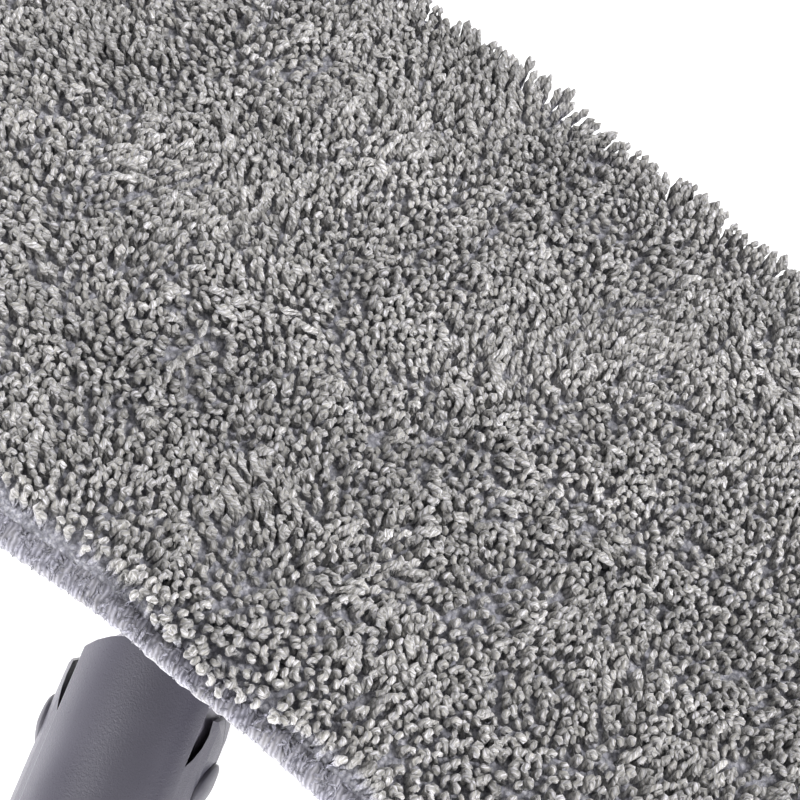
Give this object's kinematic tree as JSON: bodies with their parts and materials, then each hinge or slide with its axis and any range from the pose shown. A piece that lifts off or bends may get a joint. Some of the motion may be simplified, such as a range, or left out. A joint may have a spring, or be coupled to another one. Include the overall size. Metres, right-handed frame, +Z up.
{
  "type": "flat floor mop",
  "caption": "Flat swivel floor mop lying down: looped microfibre pad on a hook-tape plate, two-way swivel neck, telescopic pole with rubber grip and hanging loop.",
  "frame": {"origin": "on the floor, below the middle of the mop as it lies at rest", "axes": "+X along the pole towards its hanging loop, +Z up; the pad faces up and towards -X"},
  "size_m": [1.007, 0.4018, 0.0795],
  "materials": {
    "neck_plastic": "moulded, fine spark-eroded grain",
    "plate_plastic": "moulded, fine grain",
    "button_plastic": "moulded, satin",
    "dark_plastic": "moulded, satin",
    "pale_plastic": "plain acetal",
    "pole_metal": "satin powder coat on a thin steel tube",
    "steel": "zinc plated",
    "rubber": "soft matt",
    "hook_tape": "woven hook tape",
    "pile_yarn": "twisted loop microfibre pile",
    "backing_cloth": "knitted backing over a thin wadding",
    "hem_thread": "overlocked edge"
  },
  "bodies": {
    "neck": {"neck_front_cover": "neck_plastic", "neck_rear_cover": "neck_plastic", "neck_core": "dark_plastic", "swing_pin": "steel", "neck_screw_1": "steel", "neck_screw_2": "steel", "button_spring": "steel", "lower_tube": "pole_metal", "lock_insert": "pale_plastic"},
    "left_button": {"release_button_left": "button_plastic"},
    "right_button": {"release_button_right": "button_plastic"},
    "twist_lock": {"lock_collar": "dark_plastic"},
    "upper_pole": {"upper_tube": "pole_metal", "tube_guide": "pale_plastic", "grip_core": "dark_plastic", "grip_sleeve": "rubber", "end_cap": "dark_plastic"},
    "hanger": {"hanging_loop": "neck_plastic"},
    "knuckle_link": {"knuckle": "neck_plastic", "swing_bush": "pale_plastic"},
    "head": {"pad_pile": "pile_yarn", "pad_backing": "backing_cloth", "pad_hem": "hem_thread", "plate_base": "plate_plastic", "plate_cover": "plate_plastic", "hook_strip_front": "hook_tape", "hook_strip_rear": "hook_tape", "bumper_left": "rubber", "bumper_right": "rubber", "swivel_bracket": "neck_plastic", "bracket_screw_1": "steel", "bracket_screw_2": "steel", "bracket_screw_3": "steel", "bracket_screw_4": "steel", "pitch_pin": "steel", "pitch_washer_left": "pale_plastic", "pitch_washer_right": "pale_plastic"}
  },
  "joints": [
    {"name": "head_swing", "type": "hinge", "parent": "neck", "child": "knuckle_link", "pos_m": [-0.33693, -0.01898, 0.0145], "axis": [0, 0, 1], "range_deg": [-14, 46]},
    {"name": "head_pitch", "type": "hinge", "parent": "knuckle_link", "child": "head", "pos_m": [-0.38692, -0.00465, 0.0145], "axis": [0.2756, 0.9613, 0], "range_deg": [-135, 24]},
    {"name": "pole_extension", "type": "slide", "parent": "neck", "child": "upper_pole", "axis": [1, 0, 0], "range_m": [0, 0.3]},
    {"name": "twist_lock", "type": "hinge", "parent": "neck", "child": "twist_lock", "pos_m": [0.23307, -0.01898, 0.0145], "axis": [1, 0, 0], "range_deg": [0, 90]},
    {"name": "left_release", "type": "slide", "parent": "neck", "child": "left_button", "axis": [0, -1, 0], "range_m": [0, 0.0012], "stiffness_N_per_m": 2000},
    {"name": "right_release", "type": "slide", "parent": "neck", "child": "right_button", "axis": [0, 1, 0], "range_m": [0, 0.0012], "stiffness_N_per_m": 2000},
    {"name": "loop_turn", "type": "hinge", "parent": "upper_pole", "child": "hanger", "pos_m": [0.46307, -0.01898, 0.0145], "axis": [1, 0, 0], "continuous": true}
  ]
}
